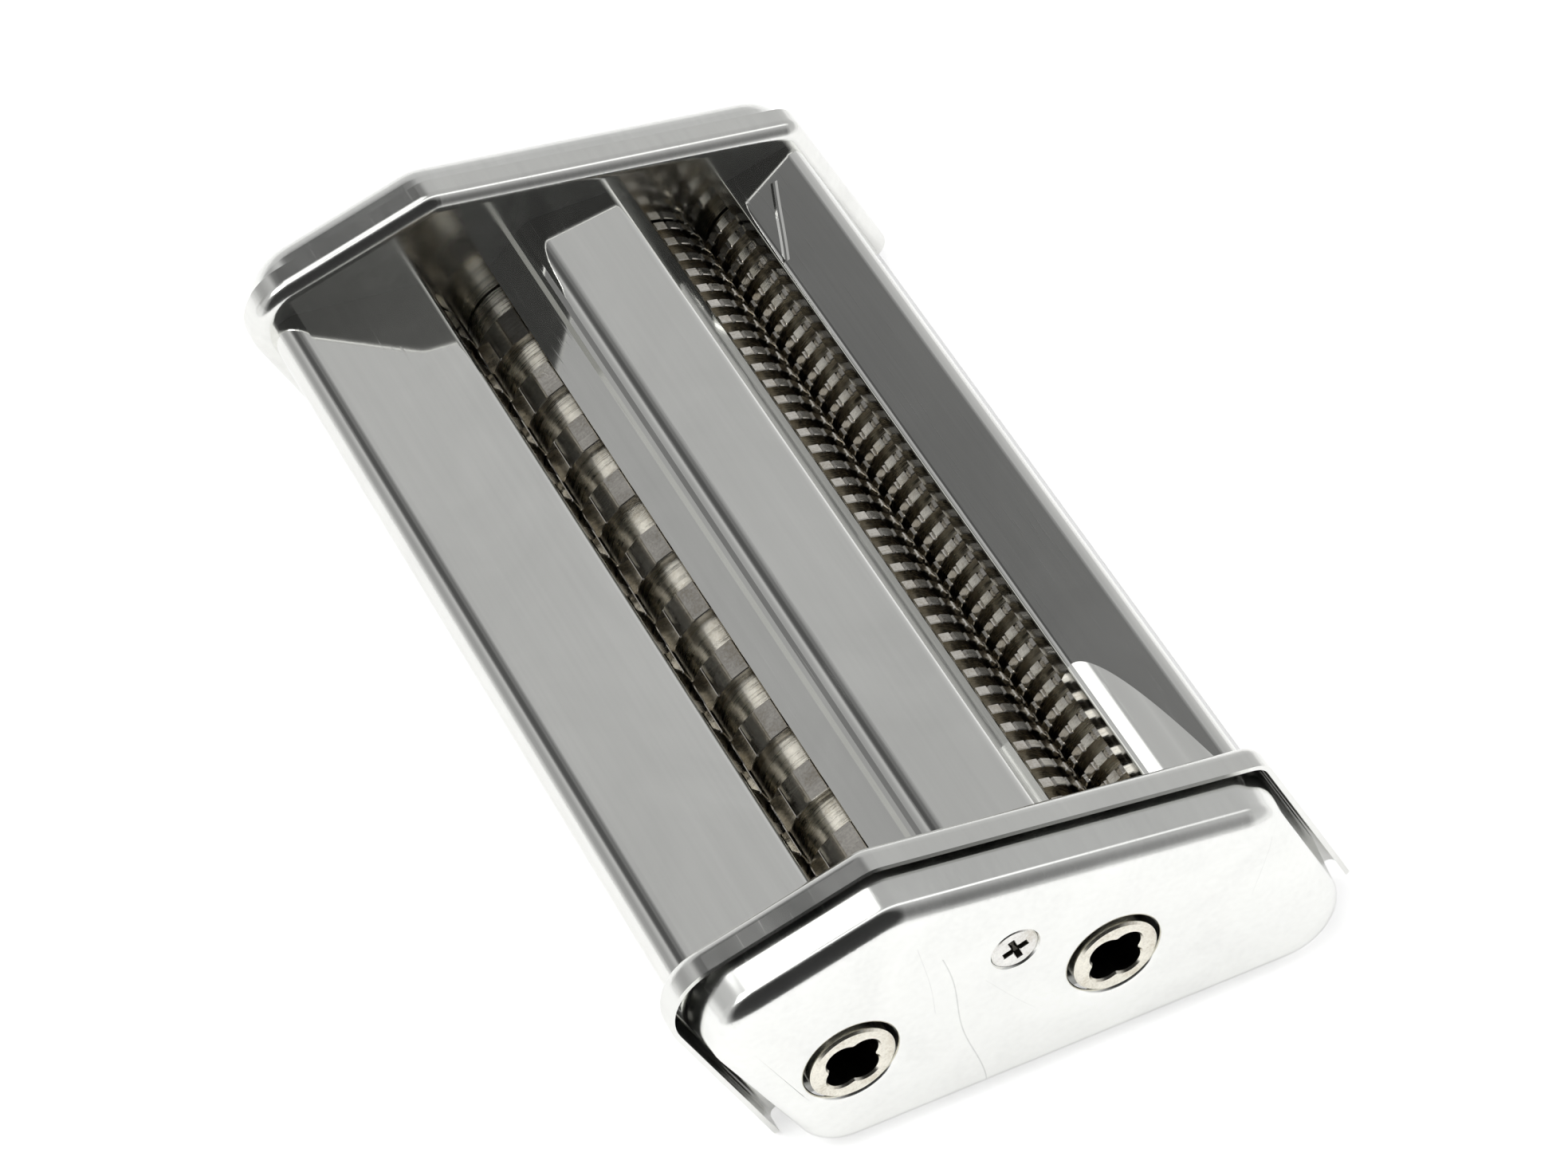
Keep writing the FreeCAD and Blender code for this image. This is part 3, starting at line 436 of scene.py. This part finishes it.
def cap_arcs():
    """Middle, start angle and end angle of each rounded corner of the cap."""
    arcs = []
    for index, corner in enumerate(CAP_CORNERS):
        before = CAP_CORNERS[index - 1]
        after = CAP_CORNERS[(index + 1) % len(CAP_CORNERS)]
        start = math.atan2(corner[0] - before[0], before[1] - corner[1])
        end = math.atan2(after[0] - corner[0], corner[1] - after[1])
        if end > start:
            end -= 2 * math.pi
        half = (start - end) / 2
        reach = CAP_RADIUS / math.cos(half)
        middle = (start + end) / 2
        centre = (corner[0] - reach * math.cos(middle), corner[1] - reach * math.sin(middle))
        arcs.append((centre, start, end))
    return arcs


def cap_ring(inset):
    """Outline of the cap, drawn in by an inset."""
    radius = CAP_RADIUS - inset
    points = []
    for (x, z), start, end in cap_arcs():
        for step in range(CAP_STEPS + 1):
            angle = start + (end - start) * step / CAP_STEPS
            points.append((x + radius * math.cos(angle), z + radius * math.sin(angle)))
    return points


def cap_profile():
    """Depth from the face and inset of each ring of the cap, from its rim to its face."""
    rows = [(CAP_DEPTH, 0.0)]
    for step in range(CAP_STEPS + 1):
        angle = step / CAP_STEPS * math.pi / 2
        depth = CAP_BEND_START * (1 - math.sin(angle))
        rows.append((depth, CAP_SKIRT_LEAN + CAP_BEND * (1 - math.cos(angle))))
    return rows


def round_ring(place, radius):
    """Circle about a place in X and Z."""
    angles = [2 * math.pi * step / HOLE_POINTS for step in range(HOLE_POINTS)]
    return [(place[0] + radius * math.cos(angle), place[1] + radius * math.sin(angle)) for angle in angles]


def make_cap():
    """Drawn cap of the crank end, in place of the plain solid: leaning walls, soft bends, turned-in holes."""
    shape = bmesh.new()

    def row(points, depth):
        y = (depth - COVER_FACE) * MM
        return [shape.verts.new((x * MM, y, z * MM)) for x, z in points]

    def fill(loops):
        edges = []
        for loop in loops:
            edges += [shape.edges.get((loop[index - 1], loop[index])) for index in range(len(loop))]
        bmesh.ops.triangle_fill(shape, use_beauty=True, edges=edges)

    outside = [row(cap_ring(inset), depth) for depth, inset in cap_profile()]
    inside = [row(cap_ring(inset + CAP_WALL), min(depth + CAP_WALL, CAP_DEPTH))
              for depth, inset in cap_profile()]
    bridge(shape, inside[::-1] + outside)
    lips = [(SCREW_PLACES["crank"], SCREW_LIP)]
    lips += [((AXIS_X[label], AXIS_Z), SOCKET_LIP) for label in ("wide_drive", "narrow_drive")]
    holes = [[row(round_ring(place, radius), depth) for depth, radius in lip] for place, lip in lips]
    for hole in holes:
        bridge(shape, hole)
    fill([outside[-1]] + [hole[0] for hole in holes])
    fill([inside[-1]] + [hole[-1] for hole in holes])
    piece = finished_piece("crank_drawn_cap", shape, COVER)
    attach(piece, "frame")
    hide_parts("crank_side_cover")


def lobed_radius(angle, grow):
    """Edge of the four-lobed crank socket, with its lobes on the diagonals."""
    off = angle % (math.pi / 2) - math.pi / 4
    side = LOBE_REACH * math.sin(off)
    edge = LOBE_RADIUS + grow
    if abs(side) >= edge:
        return LOBE_CORE + grow
    return max(LOBE_CORE + grow, LOBE_REACH * math.cos(off) + math.sqrt(edge * edge - side * side))


def make_hub(pair):
    """Crank hub with worn lobes and a bore painted dark as shade, in place of the plain solid."""
    angles = even_angles(HUB_POINTS)
    edge = HUB_EDGE - SOCKET_FACE

    def plain(radius):
        return [(angle, radius) for angle in angles]

    def lobed(grow):
        return [(angle, lobed_radius(angle, grow)) for angle in angles]

    piece = loft(f"{pair}_lobed_hub", [
        (-HALF_LENGTH - HUB_FLOOR, lobed(0)), (edge, lobed(0)), (-SOCKET_FACE, lobed(LOBE_CHAMFER)),
        (-SOCKET_FACE, plain(SOCKET_RADIUS - HUB_EDGE)), (edge, plain(SOCKET_RADIUS)),
        (-HALF_LENGTH, plain(SOCKET_RADIUS)),
    ], RING)
    # The bore gets the near-black recess tint as painted shade
    paint_inside(piece, PAINTED_SHADE_RECESS, LOBE_REACH + LOBE_RADIUS + CORE_MARGIN, edge, 0.0)
    piece.location = (AXIS_X[f"{pair}_drive"] * MM, 0, AXIS_Z * MM)
    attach(piece, f"{pair}_drive_roller")
    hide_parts(f"{pair}_socket_hub")


def rim_radii(pair):
    """Angle and radius of the points of one faceted rim, with a notch at each corner."""
    half = math.pi / FACETS[pair]
    notch = math.radians(NOTCH_ANGLE[pair])
    points = []
    for index in range(FACETS[pair]):
        corner = 2 * index * half
        points.append((corner, DISC_RADIUS - NOTCH_DEPTH[pair]))
        for off in (notch, half, 2 * half - notch):
            points.append((corner + off, DISC_RADIUS * math.cos(half) / math.cos(half - off)))
    return points


def roller_rings(pair, role):
    """Rings of one cutter from the crank end to the gear end."""
    rim = rim_radii(pair)

    def plain(radius):
        return [(angle, radius) for angle, _ in rim]

    def rimmed(less):
        return [(angle, radius - less) for angle, radius in rim]

    rings = [(-HALF_LENGTH, plain(TIP_RADIUS)), (-HALF_LENGTH, plain(CORE_RADIUS))]
    if role == "idler":
        rings[:1] = [(-BUSH_END, plain(TIP_RADIUS)), (-BUSH_END, plain(JOURNAL_RADIUS - SHAFT_EDGE)),
                     (SHAFT_EDGE - BUSH_END, plain(JOURNAL_RADIUS)), (-HALF_LENGTH, plain(JOURNAL_RADIUS))]
    steps = STEPS[pair]
    step = 2 * HALF_LENGTH / steps
    for index in reversed(range(0 if role == "drive" else 1, steps, 2)):
        far = HALF_LENGTH - index * step - DISC_GAP / 2
        near = far - step + DISC_GAP
        rings += [(near, plain(CORE_RADIUS)), (near, rimmed(RIM_EDGE)), (near + RIM_EDGE, rimmed(0)),
                  (far - RIM_EDGE, rimmed(0)), (far, rimmed(RIM_EDGE)), (far, plain(CORE_RADIUS))]
    rings += [(HALF_LENGTH, plain(CORE_RADIUS)), (HALF_LENGTH, plain(JOURNAL_RADIUS)),
              (GEAR_START, plain(JOURNAL_RADIUS)), (GEAR_START, plain(GEAR_SEAT_RADIUS)),
              (GEAR_END, plain(GEAR_SEAT_RADIUS)), (GEAR_END, plain(GROOVE_RADIUS)),
              (GROOVE_END, plain(GROOVE_RADIUS)), (GROOVE_END, plain(GEAR_SEAT_RADIUS)),
              (SHAFT_END - SHAFT_EDGE, plain(GEAR_SEAT_RADIUS)),
              (SHAFT_END, plain(GEAR_SEAT_RADIUS - SHAFT_EDGE)), (SHAFT_END, plain(TIP_RADIUS))]
    return rings


def make_roller(pair, role):
    """Cutter with notched gripping rims, in place of the plain solid."""
    label = f"{pair}_{role}"
    piece = loft(f"{label}_fluted", roller_rings(pair, role), CUTTER)
    # The narrow cutter's core takes the darker tint as painted shade between its discs
    core = CORE if pair == "wide" else NARROW_CORE_PAINTED_SHADE
    paint_inside(piece, core, CORE_RADIUS + CORE_MARGIN, -COVER_FACE, COVER_FACE)
    piece.location = (AXIS_X[label] * MM, 0, AXIS_Z * MM)
    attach(piece, f"{label}_roller")
    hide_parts(f"{label}_cutter")


def cross_radius(angle, reach, half_width):
    """Edge of a cross recess."""
    off = (angle + math.pi / 4) % (math.pi / 2) - math.pi / 4
    if abs(math.tan(off)) < half_width / reach:
        return reach / math.cos(off)
    return half_width / abs(math.sin(off))


def screw_rings():
    """Rings of one countersunk cross-head screw, from the bottom of its recess to its tip, toward +Y."""
    angles = even_angles(SCREW_POINTS)
    rings = []
    for depth, reach, half_width in SCREW_RECESS:
        cross = [(angle + SCREW_TURN, cross_radius(angle, reach, half_width)) for angle in angles]
        rings.append((depth - COVER_FACE, cross))
    for depth, radius in SCREW_BODY:
        rings.append((depth - COVER_FACE, [(angle + SCREW_TURN, radius) for angle in angles]))
    return rings


def make_screws():
    """Cross-head screws in both covers, in place of the plain solids."""
    screws = []
    for side, turn in (("crank", 0.0), ("gear", math.pi)):
        x, z = SCREW_PLACES[side]
        piece = loft(f"{side}_screw", screw_rings(), SCREW)
        # The cross recess gets the near-black recess tint as painted shade
        paint_inside(piece, PAINTED_SHADE_RECESS, RECESS_REACH, RECESS_START - COVER_FACE, RECESS_END - COVER_FACE)
        piece.data.transform(Matrix.Translation((x * MM, 0, z * MM)) @ Matrix.Rotation(turn, 4, "Z"))
        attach(piece, "frame")
        screws.append(piece)
    for piece in screws:
        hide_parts("cover_screws")


def make_world():
    """White studio: the camera sees white, and metal sees a grey room with lamps and dark places."""
    world = bpy.data.worlds.new("Studio")
    bpy.context.scene.world = world
    world.use_nodes = True
    n = Nodes(world.node_tree)
    direction = n.add("ShaderNodeTexCoord").outputs["Generated"]
    place = n.add("ShaderNodeSeparateXYZ", {"Vector": direction}).outputs

    def near(toward, edge, middle):
        """One within the middle angle of a direction, and nothing outside the edge angle."""
        inputs = {0: direction, 1: Vector(toward).normalized()}
        facing = n.add("ShaderNodeVectorMath", inputs, operation="DOT_PRODUCT").outputs["Value"]
        return n.span(facing, math.cos(math.radians(edge)), math.cos(math.radians(middle)), 0.0, 1.0)

    room = n.ramp(place["Z"], [(level, (grey, grey, grey)) for level, grey in WALL_GREYS])
    for toward, edge, middle, share in DARK_PLACES:
        lost = n.math("MULTIPLY", near(toward, edge, middle), share)
        room = n.math("MULTIPLY", room, n.math("SUBTRACT", 1.0, lost))
    strip = n.span(n.math("ABSOLUTE", place["Y"]), *STRIP_EDGE, 1.0, 0.0)
    strip = n.math("MULTIPLY", strip, n.span(place["Z"], *STRIP_FOOT, 0.0, STRIP_STRENGTH))
    for low, high, start, end in STRIP_ENDS:
        strip = n.math("MULTIPLY", strip, n.span(place["X"], low, high, start, end))
    room = n.math("ADD", room, strip)
    for toward, edge, middle, strength in SOFTBOXES:
        room = n.math("ADD", room, n.math("MULTIPLY", near(toward, edge, middle), strength))
    seen = n.add("ShaderNodeLightPath").outputs["Is Camera Ray"]
    white = n.add("ShaderNodeBackground", {"Color": (1, 1, 1, 1), "Strength": 1.0})
    walls = n.add("ShaderNodeBackground", {"Color": (1, 1, 1, 1), "Strength": room})
    mix = n.add("ShaderNodeMixShader", {0: seen, 1: walls.outputs[0], 2: white.outputs[0]})
    n.add("ShaderNodeOutputWorld", {"Surface": mix.outputs[0]})


def make_floor():
    """White table top that keeps a soft shadow."""
    bpy.ops.mesh.primitive_plane_add(size=FLOOR_SIZE, location=(0, 0, -FLOOR_DROP))
    floor = bpy.context.object
    floor.name = "floor"
    material, n = new_material("table_top")
    shader = n.add("ShaderNodeBsdfDiffuse", {"Color": (FLOOR_GREY, FLOOR_GREY, FLOOR_GREY, 1)})
    path = n.add("ShaderNodeLightPath").outputs
    strength = n.math("ADD", n.math("MULTIPLY", path["Is Camera Ray"], FLOOR_GLOW_SEEN),
                      n.math("MULTIPLY", path["Is Glossy Ray"], FLOOR_GLOW_MIRRORED))
    glow = n.add("ShaderNodeEmission", {"Color": (1, 1, 1, 1), "Strength": strength})
    both = n.add("ShaderNodeAddShader", {0: shader.outputs[0], 1: glow.outputs[0]})
    n.add("ShaderNodeOutputMaterial", {"Surface": both.outputs[0]})
    floor.data.materials.append(material)


def area_lamp(name, place, size, power):
    """Soft lamp aimed at the origin, which mirrors don't show."""
    data = bpy.data.lights.new(name, "AREA")
    data.shape = "RECTANGLE"
    data.size, data.size_y = size
    data.energy = power
    lamp = bpy.data.objects.new(name, data)
    bpy.context.scene.collection.objects.link(lamp)
    lamp.visible_glossy = False
    lamp.location = place
    lamp.rotation_euler = (-Vector(place)).to_track_quat("-Z", "Y").to_euler()


def make_camera():
    """Camera at the fitted place of the photograph's."""
    data = bpy.data.cameras.new("Camera")
    data.sensor_fit = "HORIZONTAL"
    data.sensor_width = SENSOR
    data.lens = SENSOR * FOCAL_PIXELS / IMAGE_WIDTH
    data.clip_start = CLIP_START
    data.clip_end = CLIP_END
    camera = bpy.data.objects.new("Camera", data)
    bpy.context.scene.collection.objects.link(camera)
    turn = Matrix((RIGHT, -DOWN, -FORWARD)).transposed().to_4x4()
    camera.matrix_world = Matrix.Translation(EYE) @ turn
    bpy.context.scene.camera = camera


dress_nodes()
make_screws()
make_cap()
for pair in ("wide", "narrow"):
    make_hub(pair)
    for role in ("drive", "idler"):
        make_roller(pair, role)

make_world()
make_floor()
for lamp_settings in LAMPS:
    area_lamp(*lamp_settings)
make_camera()
bpy.context.scene.view_settings.view_transform = "Standard"
